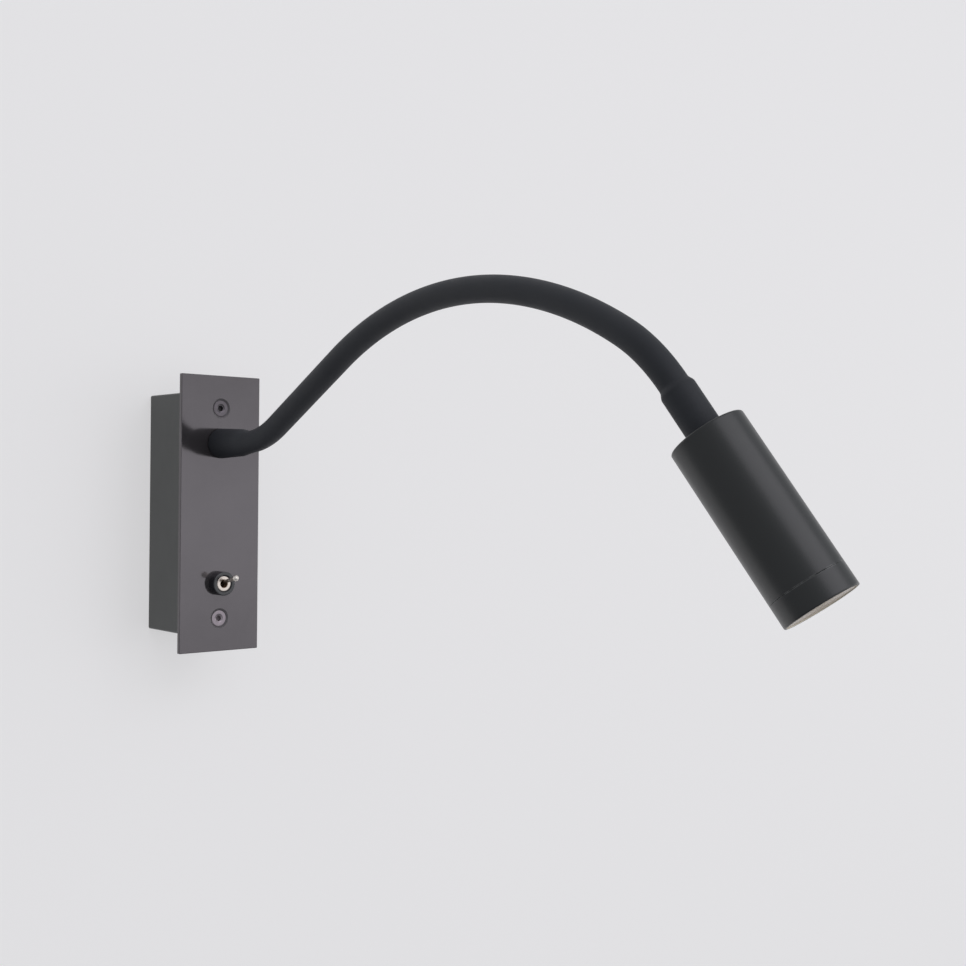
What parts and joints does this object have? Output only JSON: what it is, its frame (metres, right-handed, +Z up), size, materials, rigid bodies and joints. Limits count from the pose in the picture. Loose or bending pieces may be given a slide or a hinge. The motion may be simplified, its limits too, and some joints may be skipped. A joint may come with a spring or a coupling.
{
  "type": "bedside wall reading lamp",
  "caption": "Wall reading lamp: deep back box and screwed front plate with a toggle switch, a rubber-sleeved gooseneck arm and a small round LED spot head.",
  "frame": {"origin": "centre of the back box's flat rear face, which lies on the wall", "axes": "+Z up the wall, +Y into the wall, so that the arm leaves along -Y into the room"},
  "size_m": [0.065, 0.455, 0.1923],
  "materials": {
    "box_paint": "satin dark grey-green paint on folded steel",
    "plate_finish": "satin warm dark grey, faintly mottled",
    "steel": "plain zinc-plated steel",
    "gooseneck_steel": "bright wound steel tube",
    "arm_sleeve": "matte charcoal silicone rubber",
    "lead_sheath": "white cable sheath",
    "grommet_rubber": "black rubber",
    "screw_black": "dark plated steel",
    "terminal_nylon": "natural nylon",
    "brass": "plain brass",
    "driver_plastic": "white moulded plastic",
    "foam_pad": "grey adhesive foam",
    "circuit_board": "green circuit board",
    "component_black": "moulded component bodies",
    "live_wire": "brown insulation",
    "neutral_wire": "blue insulation",
    "earth_wire": "green and yellow insulation",
    "switch_plastic": "black phenolic moulding",
    "switch_chrome": "polished chrome plating",
    "ring_nut_black": "satin black",
    "head_paint": "satin black paint on turned aluminium",
    "aluminium": "as turned",
    "reflector_aluminium": "bright spun, pale gold",
    "board_white": "white solder mask",
    "emitter": "phosphor",
    "lens": "ribbed beige acrylic"
  },
  "bodies": {
    "wall_box": {"back_box": "box_paint", "lug_nuts": "steel", "cable_grommet": "grommet_rubber", "front_plate": "plate_finish", "cover_screws": "screw_black", "terminal_block": "terminal_nylon", "terminal_screws": "brass", "driver_pad": "foam_pad", "driver_case": "driver_plastic", "driver_lid": "driver_plastic", "driver_board": "circuit_board", "driver_transformer": "component_black", "driver_capacitors": "component_black", "earth_screw": "steel", "earth_tag": "brass", "live_leads": "live_wire", "neutral_lead": "neutral_wire", "earth_lead": "earth_wire", "switch_body": "switch_plastic", "switch_blades": "brass", "switch_back_nut": "steel", "switch_lock_washer": "steel", "switch_bush": "switch_chrome", "switch_ring_nut": "ring_nut_black", "root_ferrule": "steel", "root_lock_washer": "steel", "root_nut": "steel", "sleeve_root": "arm_sleeve", "gooseneck_root": "gooseneck_steel", "lead_root": "lead_sheath"},
    "switch_lever": {"switch_lever": "switch_chrome"},
    "arm_link_1": {"sleeve_link_1": "arm_sleeve", "gooseneck_link_1": "gooseneck_steel", "lead_link_1": "lead_sheath"},
    "arm_link_2": {"sleeve_link_2": "arm_sleeve", "gooseneck_link_2": "gooseneck_steel", "lead_link_2": "lead_sheath"},
    "arm_link_3": {"sleeve_link_3": "arm_sleeve", "gooseneck_link_3": "gooseneck_steel", "lead_link_3": "lead_sheath"},
    "arm_link_4": {"sleeve_link_4": "arm_sleeve", "gooseneck_link_4": "gooseneck_steel", "lead_link_4": "lead_sheath"},
    "arm_link_5": {"sleeve_link_5": "arm_sleeve", "gooseneck_link_5": "gooseneck_steel", "lead_link_5": "lead_sheath"},
    "lamp_head": {"sleeve_end": "arm_sleeve", "gooseneck_end": "gooseneck_steel", "lead_end": "lead_sheath", "head_ferrule": "steel", "head_housing": "head_paint", "head_nut": "steel", "heat_sink": "aluminium", "led_board": "board_white", "led_board_screws": "steel", "led_emitter": "emitter", "reflector": "reflector_aluminium", "front_lens": "lens", "bezel_ring": "head_paint"}
  },
  "joints": [
    {"name": "arm_swing_root", "type": "hinge", "parent": "wall_box", "child": "arm_link_1", "pos_m": [0, -0.10161, 0.04647], "axis": [0, 0.4068, 0.9135], "range_deg": [-30, 30]},
    {"name": "arm_lift_rise", "type": "hinge", "parent": "arm_link_1", "child": "arm_link_2", "pos_m": [0, -0.15159, 0.07357], "axis": [-1, 0, 0], "range_deg": [-30, 30]},
    {"name": "arm_swing_middle", "type": "hinge", "parent": "arm_link_2", "child": "arm_link_3", "pos_m": [0, -0.20319, 0.09718], "axis": [0, 0.2939, 0.9558], "range_deg": [-30, 30]},
    {"name": "arm_lift_crest", "type": "hinge", "parent": "arm_link_3", "child": "arm_link_4", "pos_m": [0, -0.25918, 0.10597], "axis": [-1, 0, 0], "range_deg": [-30, 30]},
    {"name": "head_swing", "type": "hinge", "parent": "arm_link_4", "child": "arm_link_5", "pos_m": [0, -0.3154, 0.09873], "axis": [0, -0.2622, 0.965], "range_deg": [-30, 30]},
    {"name": "head_tilt", "type": "hinge", "parent": "arm_link_5", "child": "lamp_head", "pos_m": [0.00004, -0.36757, 0.07658], "axis": [-0.9997, -0.0199, -0.0128], "range_deg": [-30, 30]},
    {"name": "switch_toggle", "type": "hinge", "parent": "wall_box", "child": "switch_lever", "pos_m": [0, -0.0462, -0.0406], "axis": [-1, 0, 0], "range_deg": [-25, 0]}
  ]
}
